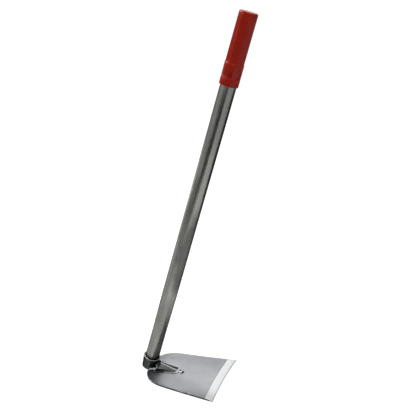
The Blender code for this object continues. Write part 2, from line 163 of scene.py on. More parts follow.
# Painted highlights on the welds
WELD_HIGHLIGHT = (0.92, 0.93, 0.93)
BEAD_END_HIGHLIGHT = (0.96, 0.97, 0.97)
GRIP_TONES = ((0.135, 0.0035, 0.0005), (0.160, 0.0060, 0.0010))
GRIP_EDGE_HIGHLIGHT = (0.25, 0.018, 0.010)
GRIP_EDGE_HIGHLIGHT_SHARE = 0.6
FELT_TONES = (0.010, 0.025)
PAPER_TONES = (0.85, 0.87)

# A pair below is a span: a mark starts at its first value and is full at its second. A place is a
# centre with its radii. A shade is the share of the tone that a mark leaves, and a share without that
# word is how fully the mark shows.

# Upward faces by the normal's height, shut-in corners by their openness, and the full core of a spot
TOP_FACE = (0.4, 0.7)
CREVICE = (0.75, 0.35)
SPOT_CORE = 0.55

# Marks on the blade
BEVEL_START = (-0.0002, 0.0002)
# A darker line behind the bevel, and painted shade along the lip at the cutting edge
LINE_BEHIND_BEVEL = ((-0.0016, -0.0006), (0.0, -0.0004))
LINE_BEHIND_BEVEL_SHADE = 0.84
LIP = (BEVEL_WIDTH - 0.0016, BEVEL_WIDTH - 0.0008)
LIP_SHADE = 0.78
FAR_END = (EDGE_HALF - 0.0030, EDGE_HALF - 0.0022)
FAR_END_SHADE = 0.62
# Painted shade on the blade: the near shoulder, the near side, a strip along the near edge, and the far side
SHOULDER_SPANS = ((-0.012, -0.052), (-0.014, -0.040))
NEAR_SIDE = (-0.028, -0.058)
NEAR_SIDE_SHADE = 0.87
NEAR_STRIP = (-0.046, -0.062)
NEAR_STRIP_SHADE = 0.72
FAR_SIDE = (0.005, 0.050)
FAR_SIDE_SHADE = 0.81
# A painted shadow on the blade along the toes of the gusset's welds
TOE_OFFSET = 0.0031
TOE_LINE = (0.0010, 0.0004)
TOE_START, TOE_END = (-0.05, 0.05), (0.95, 0.75)
TOE_SHADE = 0.22
# Heat tint with painted shade around the collar, where the collar's shadow and dark reflection fall on the
# blade
BURNT_AND_SHADED_PLACE = ((AXIS_X + 0.004, 0, BLADE_TOP), (0.030, 0.030, 0.02))
BURNT_AND_SHADED_SHARE = 0.75
WORN_AND_LIT_RIM_SHARE = 0.3
PIT_CENTRES = ((-0.0549, 0.0280, BLADE_TOP), (-0.0411, 0.0344, BLADE_TOP))
PIT_RADII = (0.0017, 0.0014, 0.01)
PIT_SHADE = 0.25
CUT_EDGE_END = (FRONT_X - 0.004, FRONT_X - 0.006)

# Painted reflections and painted shade on the tube along the handle's axes. A patch has a centre, a half
# length and a shade, over 1 where it is brighter than the tube around it.
PATCH_RADIUS = 0.017
TUBE_REFLECTION_PATCHES = (
    ((0.008, -0.009, 0.105), 0.055, 0.80),
    ((0.011, -0.006, 0.230), 0.095, 0.42),
    ((0.006, -0.010, 0.370), 0.075, 1.15),
    ((0.012, 0.004, 0.045), 0.030, 1.45),
    ((-0.014, -0.012, 0.440), 0.180, 1.85),
)
# Painted shade on the tube's foot just above the collar's mouth
SHADED_FOOT = (0.031, 0.0235)
FOOT_SHADE = 0.16
SPECKS = (0.70, 0.76)
SPECK_SHADE = 0.55

# Marks on the collar, heights along the handle's axis
# Painted shade and dark reflection on the collar's near side, beside the gusset's rear edge
COLLAR_SHADE_PLACE = ((-0.056, -0.007, 0.010), (0.009, 0.009, 0.008))
COLLAR_PAINTED_SHADE = 0.3
COLLAR_MOUTH = (0.0205, 0.0213)
COLLAR_RIM = (0.0220, 0.0223)

# Painted highlight on the gusset: the crest of its fold, as a distance from the middle, and its other edges
GUSSET_CREST_HIGHLIGHT = (0.0014, 0.0007)
GUSSET_EDGE_HIGHLIGHT_SHARE = 0.5

# Marks on the welds
BEHIND_GUSSET = (-0.0530, -0.0520)
# Painted shade and dark reflections on the gusset's beads and along their upper toes
GUSSET_BEAD_SIDE = (0.0085, 0.0100)
GUSSET_BEAD_FRONT = (-0.0500, -0.0480)
GUSSET_BEAD_END = (-0.034, -0.042)
GUSSET_BEAD_SHADE = 0.20
FACE_TOE = (0.0036, 0.0044)
FACE_TOE_END = (-0.0185, -0.0205)
FACE_TOE_SHADE = 0.24
COLLAR_BEAD_LEFT = (-0.0640, -0.0655)
COLLAR_BEAD_LEFT_SHADE = 0.25
# A painted shadow along the far bead
FAR_BEAD = (0.0015, 0.0030)
FAR_BEAD_END = (-0.0175, -0.0195)
FAR_BEAD_SHADE = 0.12
ARCH_TOP = (0.0095, 0.0110)
ARCH_TOP_SHADE = 0.35
TIP_START = (-0.0190, -0.0175)
TIP_HIGHLIGHT_SHARE = 0.6
CORNER_HIGHLIGHT_PLACE = ((-0.0556, -0.0092, 0.0058), (0.0042, 0.0050, 0.0080))
CORNER_HIGHLIGHT_SHARE = 0.8
UNSHADED_CORNER_SHARE = 0.9
COLLAR_BEAD_SPANS = ((-0.0560, -0.0575), (-0.0655, -0.0640))
COLLAR_BEAD_CREST = (0.0050, 0.0058)
CREST_HIGHLIGHT_SHARE = 0.8
COLLAR_BEAD_TOE_SHADE = 0.20
BEAD_END_HIGHLIGHT_PLACE = ((-0.0575, -0.0105, 0.0040), (0.0028, 0.0030, 0.0040))
# Painted shade on the nugget's front and a painted shadow on its rear slope
NUGGET_FRONT = (-0.0092, -0.0080)
NUGGET_FRONT_SHADE = 0.15
NUGGET_SHADOW_PLACE = ((-0.0126, -0.0004, 0.0052), (0.0024, 0.0040, 0.006))
NUGGET_SHADOW_SHADE = 0.02
WELD_HOLLOW_SHADE = 0.10

# Light: strengths of the world at the horizon and from a height up, the floor's own white, and how
# much of it the eye and gloss see
HORIZON_LIGHT = 0.35
OVERHEAD_LIGHT = 0.60
OVERHEAD_FROM = 0.7
FLOOR_GLOW = 1.15
EYE_SHARE = 0.8
GLOSS_SHARE = 0.15

# Lamps: place, target, width and height, power in watts, and whether gloss shows them
LAMPS = {
    "key": ((-1.5, -0.25, 1.4), (0, 0, 0.4), (3.2, 0.9), 18, True),
    "side_panel": ((-1.6, 0.2, 0.7), (0, 0, 0.4), (1.0, 1.3), 17, False),
    "left_strip": ((-1.45, 0.68, 0.17), (0, 0, 0.3), (0.8, 0.28), 1.6, True),
    "top_left": ((-0.75, 0.50, 1.75), (0, 0, 0.4), (0.22, 0.22), 12, True),
    "floor_pool": ((0.35, -0.35, 1.6), (0.3, -0.3, 0), (0.4, 0.4), 21, False),
    "backdrop_wash": ((-1.4, 3.0, 3.6), (-1.5, 4.9, 2.6), (2.2, 0.6), 42, True),
}

# The paper floor and the backdrop that it curves up into
FLOOR_ACROSS = (-6.0, -3.0, 0.0, 3.0, 6.0)
FLOOR_NEAR_Y = -4.0
FLOOR_FAR_Y = 3.0
FLOOR_Z = -0.0002
BEND_RADIUS = 2.0
BACKDROP_TOP = 6.0
FLOOR_STEPS = 20

# Dark cards around the hoe: distance, first and last direction in degrees, height and density.
# A card is full within its core and thins out beyond it.
CARDS = {
    "front_card": (0.6, -118, -58, 0.45, 1.0),
    "back_card": (0.36, 8, 82, 0.46, 1.0),
    "left_card": (0.45, 178, 262, 0.45, 0.45),
}
CARD_CORE = 0.7
CARD_FOOT = 0.04
CARD_STEPS = 8

# Camera as in the photograph. The focal length is in pixels of its picture.
CAMERA_PLACE = (0.34745, -0.9173, 0.6117)
CAMERA_TILT = math.radians(72.37)
CAMERA_TURN = math.radians(18.67)
FOCAL_PIXELS = 650
PICTURE_PIXELS = 416
SENSOR_WIDTH = 36


# Node helpers

class Graph:
    """A short way to write shader nodes."""

    def __init__(self, name):
        self.material = bpy.data.materials.new(name)
        self.material.use_nodes = True
        self.tree = self.material.node_tree
        self.shader = self.tree.nodes["Principled BSDF"]

    def node(self, kind, **values):
        made = self.tree.nodes.new(kind)
        for key, value in values.items():
            setattr(made, key, value)
        return made

    def link(self, value, socket):
        """Links a socket, or writes a plain value."""
        if isinstance(value, bpy.types.NodeSocket):
            self.tree.links.new(value, socket)
        else:
            socket.default_value = value

    def math(self, operation, a, b=0.0):
        made = self.node("ShaderNodeMath", operation=operation)
        for value, socket in zip((a, b), made.inputs):
            self.link(value, socket)
        return made.outputs[0]

    def position(self):
        """Object coordinates, which are metres in the frame."""
        return self.node("ShaderNodeTexCoord").outputs["Object"]

    def handle_position(self):
        """Metres along the handle's own axes, from where its axis meets the blade."""
        moved = self.node("ShaderNodeVectorMath", operation="SUBTRACT")
        self.link(self.position(), moved.inputs[0])
        moved.inputs[1].default_value = (AXIS_X, 0, BLADE_TOP)
        turned = self.node("ShaderNodeVectorRotate", rotation_type="Y_AXIS")
        self.link(moved.outputs[0], turned.inputs["Vector"])
        turned.inputs["Angle"].default_value = -LEAN
        return turned.outputs[0]

    def split(self, vector):
        made = self.node("ShaderNodeSeparateXYZ")
        self.link(vector, made.inputs[0])
        return made.outputs

    def scaled(self, vector, scale):
        made = self.node("ShaderNodeVectorMath", operation="MULTIPLY")
        self.link(vector, made.inputs[0])
        made.inputs[1].default_value = scale
        return made.outputs[0]

    def noise(self, vector, scale, detail, roughness):
        made = self.node("ShaderNodeTexNoise")
        self.link(vector, made.inputs["Vector"])
        made.inputs["Scale"].default_value = scale
        made.inputs["Detail"].default_value = detail
        made.inputs["Roughness"].default_value = roughness
        return made.outputs["Fac"]

    def ramp(self, value, tones, low=0.3, high=0.7):
        """The first tone up to low, the second from high, and a blend between. A number is a grey."""
        made = self.node("ShaderNodeValToRGB")
        for element, place, tone in zip(made.color_ramp.elements, (low, high), tones):
            element.position = place
            rgb = (tone, tone, tone) if isinstance(tone, float) else tone
            element.color = (*rgb, 1.0)
        self.link(value, made.inputs["Fac"])
        return made.outputs["Color"]

    def span(self, value, low, high):
        """0 at low and 1 at high, smooth between them."""
        made = self.node("ShaderNodeMapRange", interpolation_type="SMOOTHSTEP")
        for given, name in ((value, "Value"), (low, "From Min"), (high, "From Max")):
            self.link(given, made.inputs[name])
        return made.outputs["Result"]

    def mix(self, share, a, b, blend="MIX"):
        """a where the share is 0 and b, or the blend of both, where it is 1."""
        made = self.node("ShaderNodeMix", data_type="RGBA", blend_type=blend)
        self.link(share, made.inputs["Factor"])
        for value, name in ((a, "A"), (b, "B")):
            socket = [s for s in made.inputs if s.name == name and s.type == "RGBA"][0]
            self.link(value if isinstance(value, bpy.types.NodeSocket) else (*value, 1.0), socket)
        return [s for s in made.outputs if s.type == "RGBA"][0]

    def bump(self, height, strength, distance, normal=None):
        made = self.node("ShaderNodeBump")
        made.inputs["Strength"].default_value = strength
        made.inputs["Distance"].default_value = distance
        self.link(height, made.inputs["Height"])
        if normal is not None:
            self.link(normal, made.inputs["Normal"])
        return made.outputs[0]

    def finish(self, colour, roughness, normal, metallic=1.0, **constants):
        self.link(colour, self.shader.inputs["Base Color"])
        self.link(roughness, self.shader.inputs["Roughness"])
        self.link(normal, self.shader.inputs["Normal"])
        self.shader.inputs["Metallic"].default_value = metallic
        for name, value in constants.items():
            self.shader.inputs[name.replace("_", " ")].default_value = value
        return self.material


def dress(node, finish):
    """Puts a finish on a CAD node."""
    data = NODES[node].data
    data.materials.clear()
    data.materials.append(finish)


# Masks and patterns that several finishes share

def product(g, *factors):
    result = factors[0]
    for factor in factors[1:]:
        result = g.math("MULTIPLY", result, factor)
    return result


def opposite(g, mask):
    return g.math("SUBTRACT", 1.0, mask)


def grained(g, colour, pattern, share, tones):
    """The colour with a share of a pattern of two tones over it."""
    return g.mix(share, colour, g.ramp(pattern, tones))


def varied(g, pattern, amount, base):
    """A base value with an amount of a pattern on it."""
    return g.math("ADD", product(g, pattern, amount), base)


def darker(g, colour, mask, share):
    """The colour times a share where the mask is 1."""
    return g.mix(mask, colour, (share, share, share), "MULTIPLY")


def edge_mask(g, radius, low, high):
    """1 along sharp edges, where the rounded normal leaves the plain one, and the rounded normal."""
    rounded = g.node("ShaderNodeBevel", samples=6)
    rounded.inputs["Radius"].default_value = radius
    plain = g.node("ShaderNodeNewGeometry").outputs["True Normal"]
    both = g.node("ShaderNodeVectorMath", operation="DOT_PRODUCT")
    g.link(rounded.outputs[0], both.inputs[0])
    g.link(plain, both.inputs[1])
    return g.span(both.outputs["Value"], 1 - low, 1 - high), rounded.outputs[0]


def spot_mask(g, place, centre, radii, ragged, ragged_scale=400.0):
    """1 inside an ellipsoid at a place, falling to 0 at its border, which noise makes ragged."""
    moved = g.node("ShaderNodeVectorMath", operation="SUBTRACT")
    g.link(place, moved.inputs[0])
    moved.inputs[1].default_value = centre
    reach = g.node("ShaderNodeVectorMath", operation="LENGTH")
    g.link(g.scaled(moved.outputs[0], tuple(1 / r for r in radii)), reach.inputs[0])
    wobble = g.math("SUBTRACT", g.noise(place, scale=ragged_scale, detail=3, roughness=0.6), 0.5)
    distance = g.math("ADD", reach.outputs["Value"], g.math("MULTIPLY", wobble, ragged))
    return g.span(distance, 1.0, SPOT_CORE)


def corner_shade_mask(g, distance):
    """1 in the corners where pieces meet, for painted shade there."""
    made = g.node("ShaderNodeAmbientOcclusion", samples=8)
    made.inputs["Distance"].default_value = distance
    return g.span(made.outputs["AO"], *CREVICE)


def streaks(g, place, degrees, scales, roughness):
    """Noise with its own scale along each axis, turned about the upright axis."""
    made = g.node("ShaderNodeVectorRotate", rotation_type="Z_AXIS")
    g.link(place, made.inputs["Vector"])
    made.inputs["Angle"].default_value = math.radians(degrees)
    return g.noise(g.scaled(made.outputs[0], scales), scale=1.0, detail=4, roughness=roughness)


def toe_shadow_line(g, x, y):
    """1 along the painted shadow beside the gusset's welds."""
    share = g.math("DIVIDE", g.math("SUBTRACT", x, GUSSET_REAR_X), GUSSET_TIP_X - GUSSET_REAR_X)
    narrowing = product(g, share, GUSSET_TIP_HALF - GUSSET_REAR_HALF)
    half = g.math("ADD", narrowing, GUSSET_REAR_HALF + TOE_OFFSET)
    off = g.math("ABSOLUTE", g.math("SUBTRACT", g.math("ABSOLUTE", y), half))
    along = product(g, g.span(share, *TOE_START), g.span(share, *TOE_END))
    return product(g, g.span(off, *TOE_LINE), along)


# Finishes

def blade_finish():
    """Cold-rolled plate with a ground bevel and dark cut edges, painted shade on its sides, shoulder and lip,
    heat tint with painted shade around the collar, painted shadows beside the welds and a painted highlight
    on its rim.
    """
    g = Graph("blade_finish")
    place = g.position()
    x, y = g.split(place)[:2]
    cloud = g.noise(place, scale=34, detail=4, roughness=0.55)
    rolled = streaks(g, place, degrees=12, scales=(60, 900, 1), roughness=0.6)
    fine = g.noise(g.scaled(place, (1, 4, 1)), scale=620, detail=2, roughness=0.6)
    body = g.ramp(cloud, BLADE_TONES)
    body = grained(g, body, rolled, share=0.10, tones=(0.30, 0.86))
    body = grained(g, body, fine, share=0.07, tones=(0.20, 0.90))

    # The ground bevel, a darker line behind it, and painted shade along the lip at the cutting edge
    side = g.math("DIVIDE", y, EDGE_HALF)
    hollow = product(g, opposite(g, product(g, side, side)), EDGE_HOLLOW)
    from_bevel = g.math("SUBTRACT", x, g.math("SUBTRACT", FRONT_X - BEVEL_WIDTH, hollow))
    normal_z = g.split(g.node("ShaderNodeNewGeometry").outputs["True Normal"])[2]
    top = g.span(normal_z, *TOP_FACE)
    bevel = product(g, g.span(from_bevel, *BEVEL_START), top)
    scratches = streaks(g, place, degrees=28, scales=(70, 2400, 1), roughness=0.65)
    colour = g.mix(bevel, body, g.ramp(scratches, GROUND_TONES, low=0.35, high=0.65))
    behind_bevel_line = product(g, g.span(from_bevel, *LINE_BEHIND_BEVEL[0]), g.span(from_bevel, *LINE_BEHIND_BEVEL[1]))
    colour = darker(g, colour, behind_bevel_line, LINE_BEHIND_BEVEL_SHADE)
    colour = darker(g, colour, g.span(from_bevel, *LIP), LIP_SHADE)
    colour = darker(g, colour, product(g, bevel, g.span(y, *FAR_END)), FAR_END_SHADE)

    # Painted shade: darker streaks on the near shoulder, and darker near and far sides
    shoulder_shade_streaks = streaks(g, place, degrees=-38, scales=(45, 420, 1), roughness=0.65)
    shoulder = product(g, g.span(x, *SHOULDER_SPANS[0]), g.span(y, *SHOULDER_SPANS[1]))
    colour = g.mix(shoulder, colour, g.ramp(shoulder_shade_streaks, SHOULDER_SHADE_TONES), "MULTIPLY")
    colour = darker(g, colour, g.span(y, *NEAR_SIDE), NEAR_SIDE_SHADE)
    near_strip = product(g, g.span(y, *NEAR_STRIP), opposite(g, bevel))
    colour = darker(g, colour, near_strip, NEAR_STRIP_SHADE)
    far_side = product(g, g.span(y, *FAR_SIDE), opposite(g, bevel))
    colour = darker(g, colour, far_side, FAR_SIDE_SHADE)

    # Painted shadows beside the welds, heat tint with painted shade around the collar, two pits, worn rims
    # with a painted highlight, painted shade in the corners, and cut edges
    colour = darker(g, colour, toe_shadow_line(g, x, y), TOE_SHADE)
    burnt_and_shaded = spot_mask(g, place, *BURNT_AND_SHADED_PLACE, ragged=0.5, ragged_scale=130)
    colour = g.mix(product(g, burnt_and_shaded, BURNT_AND_SHADED_SHARE), colour, BURNT_AND_SHADED_TINT, "MULTIPLY")
    for centre in PIT_CENTRES:
        colour = darker(g, colour, spot_mask(g, place, centre, PIT_RADII, ragged=0.4), PIT_SHADE)
    edges, rounded = edge_mask(g, radius=0.0007, low=0.02, high=0.25)
    # Wear with a painted highlight along the top edges of the rim
    colour = g.mix(product(g, edges, top, WORN_AND_LIT_RIM_SHARE), colour, WORN_AND_LIT_RIM)
    # Painted shade in the corners by the collar and the welds
    colour = darker(g, colour, corner_shade_mask(g, distance=0.004), share=0.25)
    cut = product(g, g.span(normal_z, *TOP_FACE[::-1]), g.span(x, *CUT_EDGE_END))
    colour = g.mix(cut, colour, g.ramp(fine, CUT_EDGE_TONES))

    roughness = g.math("ADD", varied(g, fine, amount=0.14, base=0.30), product(g, bevel, 0.10))
    relief = g.math("ADD", product(g, scratches, bevel), product(g, rolled, 0.3))
    return g.finish(colour, roughness, g.bump(relief, strength=0.22, distance=0.0002, normal=rounded))


def tube_finish():
    """Drawn steel tube with long die lines, patches of painted reflection and painted shade, and painted
    shade at its foot.
    """
    g = Graph("tube_finish")
    place = g.handle_position()
    lines = g.noise(g.scaled(place, (620, 620, 7)), scale=1.0, detail=4, roughness=0.6)
    bands = g.noise(g.scaled(place, (110, 110, 3.2)), scale=1.0, detail=2, roughness=0.5)
    cloud = g.noise(g.scaled(place, (1, 1, 0.4)), scale=60, detail=4, roughness=0.6)
    colour = g.ramp(bands, TUBE_TONES, low=0.36, high=0.64)
    colour = grained(g, colour, lines, share=0.28, tones=TUBE_LINE_TONES)
    colour = grained(g, colour, cloud, share=0.18, tones=TUBE_CLOUD_TONES)
    # Patches of painted reflection and painted shade
    for centre, length, tone in TUBE_REFLECTION_PATCHES:
        reflection_patch = spot_mask(g, place, centre, (PATCH_RADIUS, PATCH_RADIUS, length), ragged=0.4, ragged_scale=60)
        colour = darker(g, colour, reflection_patch, tone)
    # Painted shade on the tube's foot above the collar
    colour = darker(g, colour, g.span(g.split(place)[2], *SHADED_FOOT), FOOT_SHADE)
    specks = g.span(g.noise(g.scaled(place, (1, 1, 0.6)), scale=520, detail=2, roughness=0.5), *SPECKS)
    colour = darker(g, colour, specks, SPECK_SHADE)
    roughness = varied(g, lines, amount=0.16, base=0.20)
    bump = g.bump(lines, strength=0.10, distance=0.0002)
    return g.finish(colour, roughness, bump, Specular_Tint=TUBE_GRAZING_TINT)


def collar_finish():
    """Pipe with dark mill scale, bare along its mouth with a painted highlight there, and painted shade in
    its corners.
    """
    g = Graph("collar_finish")
    place = g.handle_position()
    z = g.split(place)[2]
    mottle = g.noise(place, scale=210, detail=5, roughness=0.65)
    grain = g.noise(place, scale=1300, detail=2, roughness=0.6)
    colour = g.ramp(mottle, COLLAR_TONES, low=0.38, high=0.66)
    colour = grained(g, colour, grain, share=0.2, tones=(0.01, 0.16))
    # Painted shade and dark reflection beside the gusset
    collar_shade = spot_mask(g, g.position(), *COLLAR_SHADE_PLACE, ragged=0.6, ragged_scale=260)
    colour = darker(g, colour, collar_shade, COLLAR_PAINTED_SHADE)
    # Painted shade in the collar's corners
    colour = darker(g, colour, corner_shade_mask(g, distance=0.004), share=0.3)
    edges, rounded = edge_mask(g, radius=0.0006, low=0.01, high=0.12)
    # Bare metal with a painted highlight along the mouth and its chamfer
    worn_and_lit = g.math("MAXIMUM", product(g, edges, g.span(z, *COLLAR_MOUTH)), g.span(z, *COLLAR_RIM))
    colour = g.mix(worn_and_lit, colour, g.ramp(grain, WORN_AND_LIT_COLLAR_TONES))
    bump = g.bump(mottle, strength=0.3, distance=0.0004, normal=rounded)
    return g.finish(colour, roughness=0.34, normal=bump, Specular_Tint=COLLAR_GRAZING_TINT)


def gusset_finish():
    """Folded sheet, bluish and mottled by the heat of its welds, with a painted highlight along its fold and
    edges and painted shade in its corners.
    """
    g = Graph("gusset_finish")
    place = g.position()
    mottle = g.noise(place, scale=240, detail=5, roughness=0.65)
    grain = g.noise(place, scale=1200, detail=2, roughness=0.6)
    colour = g.ramp(mottle, GUSSET_TONES, low=0.34, high=0.68)
    colour = grained(g, colour, grain, share=0.15, tones=(0.05, 0.50))
    # Painted shade in the gusset's corners
    colour = darker(g, colour, corner_shade_mask(g, distance=0.0035), share=0.2)
    edges, rounded = edge_mask(g, radius=0.0008, low=0.01, high=0.10)
    # Painted highlight along the fold's crest and the edges
    crest_highlight = g.span(g.math("ABSOLUTE", g.split(place)[1]), *GUSSET_CREST_HIGHLIGHT)
    gusset_highlight = g.math("MAXIMUM", crest_highlight, product(g, edges, GUSSET_EDGE_HIGHLIGHT_SHARE))
    colour = g.mix(gusset_highlight, colour, g.ramp(grain, GUSSET_HIGHLIGHT_TONES))
    bump = g.bump(mottle, strength=0.25, distance=0.0004, normal=rounded)
    return g.finish(colour, roughness=0.34, normal=bump)


def weld_finish():
    """Rippled weld metal, with painted highlights on its crests and painted shade in its hollows and along
    its toes.
    """
    g = Graph("weld_finish")
    place = g.position()
    x, y, z = g.split(place)
    scale = g.noise(place, scale=520, detail=3, roughness=0.6)
    grain = g.noise(place, scale=1500, detail=2, roughness=0.6)
    colour = g.ramp(scale, WELD_TONES, low=0.34, high=0.62)
    colour = grained(g, colour, grain, share=0.15, tones=(0.1, 0.9))

    # Painted shade and dark reflections on the gusset's beads, a painted shadow along the far bead, and
    # darker metal on the arch's top and at the collar bead's left end
    beside = g.span(g.math("ABSOLUTE", y), *GUSSET_BEAD_SIDE)
    outer_bead_shade = g.math("MAXIMUM", beside, g.span(x, *GUSSET_BEAD_FRONT))
    outer_bead_shade = product(g, outer_bead_shade, g.span(x, *BEHIND_GUSSET), g.span(x, *GUSSET_BEAD_END))
    colour = darker(g, colour, outer_bead_shade, GUSSET_BEAD_SHADE)
    upper_toe_shade = product(g, g.span(z, *FACE_TOE), g.span(x, *BEHIND_GUSSET), g.span(x, *FACE_TOE_END))
    colour = darker(g, colour, upper_toe_shade, FACE_TOE_SHADE)
    colour = darker(g, colour, g.span(x, *COLLAR_BEAD_LEFT), COLLAR_BEAD_LEFT_SHADE)
    far = product(g, g.span(y, *FAR_BEAD), g.span(x, *FAR_BEAD_END))
    colour = darker(g, colour, far, FAR_BEAD_SHADE)
    colour = darker(g, colour, g.span(z, *ARCH_TOP), ARCH_TOP_SHADE)

    # Painted highlights on the nugget, in the corner behind the gusset, on the collar bead's crest and at the
    # bead's end, and painted shade below that crest
    tip = g.span(x, *TIP_START)
    corner = spot_mask(g, place, *CORNER_HIGHLIGHT_PLACE, ragged=0.2)
    on_collar = product(g, g.span(x, *COLLAR_BEAD_SPANS[0]), g.span(x, *COLLAR_BEAD_SPANS[1]))
    above_toe = g.span(z, *COLLAR_BEAD_CREST)
    crest_highlight = product(g, above_toe, on_collar)
    painted_highlight = g.math("MAXIMUM", product(g, corner, CORNER_HIGHLIGHT_SHARE), product(g, crest_highlight, CREST_HIGHLIGHT_SHARE))
    painted_highlight = g.math("MAXIMUM", product(g, tip, TIP_HIGHLIGHT_SHARE), painted_highlight)
    colour = g.mix(painted_highlight, colour, WELD_HIGHLIGHT)
    # Painted shade on the collar bead below its crest
    lower_bead_shade = product(g, opposite(g, above_toe), on_collar)
    colour = darker(g, colour, lower_bead_shade, COLLAR_BEAD_TOE_SHADE)
    colour = g.mix(spot_mask(g, place, *BEAD_END_HIGHLIGHT_PLACE, ragged=0.2), colour, BEAD_END_HIGHLIGHT)

    # Painted shade on the nugget's front, a painted shadow on its rear slope, and painted shade in the
    # hollows
    colour = darker(g, colour, g.span(x, *NUGGET_FRONT), NUGGET_FRONT_SHADE)
    colour = darker(g, colour, spot_mask(g, place, *NUGGET_SHADOW_PLACE, ragged=0.3), NUGGET_SHADOW_SHADE)
    unshaded = g.math("MAXIMUM", tip, product(g, corner, UNSHADED_CORNER_SHARE))
    hollow = product(g, corner_shade_mask(g, distance=0.0016), opposite(g, unshaded))
    colour = darker(g, colour, hollow, WELD_HOLLOW_SHADE)
    bump = g.bump(scale, strength=0.35, distance=0.0004)
    return g.finish(colour, roughness=0.36, normal=bump)


def grip_finish():
    """Glossy moulded plastic, slightly clouded, with a fine moulding grain and a painted highlight along its
    edges.
    """
    g = Graph("grip_finish")
    place = g.handle_position()
    cloud = g.noise(place, scale=90, detail=3, roughness=0.5)
    colour = g.ramp(cloud, GRIP_TONES)
    grain = g.noise(place, scale=1500, detail=2, roughness=0.5)
    wave = g.noise(g.scaled(place, (1, 1, 0.35)), scale=210, detail=2, roughness=0.5)
    edges, rounded = edge_mask(g, radius=0.0010, low=0.005, high=0.08)
    # Painted highlight along the rounded edges between the flats
    colour = g.mix(product(g, edges, GRIP_EDGE_HIGHLIGHT_SHARE), colour, GRIP_EDGE_HIGHLIGHT)
    relief = varied(g, grain, amount=0.25, base=wave)
    roughness = varied(g, grain, amount=0.08, base=0.13)
    bump = g.bump(relief, strength=0.10, distance=0.0004, normal=rounded)
    return g.finish(colour, roughness, bump, metallic=0.0, Specular_IOR_Level=0.14)


# Mesh helpers

def mesh_object(name, bm, finish):
    mesh = bpy.data.meshes.new(name)
    bm.to_mesh(mesh)
    bm.free()
    mesh.shade_smooth()
    mesh.materials.append(finish)
    made = bpy.data.objects.new(name, mesh)
    SCENE.collection.objects.link(made)
    return made


def grid_object(name, points_in_rows, finish):
    bm = bmesh.new()
    rows = [[bm.verts.new(p) for p in row] for row in points_in_rows]
    for row, after in zip(rows, rows[1:]):
        for i in range(len(row) - 1):
            bm.faces.new((row[i], row[i + 1], after[i + 1], after[i]))
    return mesh_object(name, bm, finish)


def apply_modifiers(piece):
    view = bpy.context.evaluated_depsgraph_get()
    view.update()
    finished = bpy.data.meshes.new_from_object(piece.evaluated_get(view))
    piece.modifiers.clear()
    piece.data = finished


def stand_for(piece, node):
    """The piece is seen in the CAD node's place and moves with the hoe."""
    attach(piece, "root")
    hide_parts(node)


def smooth_share(share):
    """An even share from 0 to 1 with soft ends."""
    return share * share * (3 - 2 * share)


# The blade, with a smooth outline and rim

def side_half_width(x):
    shoulder_x = REAR_X + SHOULDER_LENGTH
    spread = (EDGE_WIDTH - SHOULDER_WIDTH) / 2 / (FRONT_X - shoulder_x)
    return SHOULDER_WIDTH / 2 + spread * (x - shoulder_x)


def shoulder_point(angle):
    """(x, half width) on the rounded shoulder, from the middle of the rear edge at 0 to the side."""
    power = 2 / SHOULDER_ROUNDNESS
    x = REAR_X + SHOULDER_LENGTH * (1 - math.cos(angle) ** power)
    return x, side_half_width(x) * math.sin(angle) ** power


def outline_points():
    quarter = math.pi / 2
    points = [Vector(shoulder_point(quarter * i / OUTLINE_STEPS)) for i in range(OUTLINE_STEPS)]
    for x in (REAR_X + SHOULDER_LENGTH, FRONT_X):
        points.append(Vector((x, side_half_width(x))))
    return points


def blade_lift(x, y, outline):
    """Height of the blade's underside over the ground, from the turned-up rim."""
    point = Vector((x, abs(y)))
    inside = RIM_BAND
    for start, end in zip(outline, outline[1:]):
        run = end - start
        along = min(max((point - start).dot(run) / run.length_squared, 0.0), 1.0)
        inside = min(inside, (start + run * along - point).length)
    forward = min(max((x - REAR_X) / (FRONT_X - REAR_X), 0.0), 1.0)
    across = min(max((abs(y) - RIM_FREE_MIDDLE) / RIM_FADE, 0.0), 1.0)
    full = RIM_FRONT_LIFT + (RIM_LIFT - RIM_FRONT_LIFT) * (1 - forward) ** RIM_FALL
    return full * smooth_share(across) * (1 - inside / RIM_BAND) ** 2


def blade_rows():
    """Rows from the rear to the cutting edge, as (x, half width, share of the hollow, thickness)."""
    quarter = math.pi / 2
    first = math.asin((REAR_HALF / side_half_width(REAR_X)) ** (SHOULDER_ROUNDNESS / 2))
    rows = []
    for i in range(SHOULDER_ROWS):
        x, half = shoulder_point(first + (quarter - first) * i / SHOULDER_ROWS)
        rows.append((x, half, 0.0, BLADE_TOP))
    shoulder_x, bevel_x = REAR_X + SHOULDER_LENGTH, FRONT_X - BEVEL_WIDTH
    for i in range(SIDE_ROWS + 1):
        x = shoulder_x + (bevel_x - shoulder_x) * i / SIDE_ROWS
        rows.append((x, side_half_width(x), (i / SIDE_ROWS) ** 2, BLADE_TOP))
    for i in range(1, BEVEL_ROWS + 1):
        x = bevel_x + BEVEL_WIDTH * i / BEVEL_ROWS
        thickness = BLADE_TOP + (EDGE_THICKNESS - BLADE_TOP) * i / BEVEL_ROWS
        rows.append((x, side_half_width(x), 1.0, thickness))
    return rows


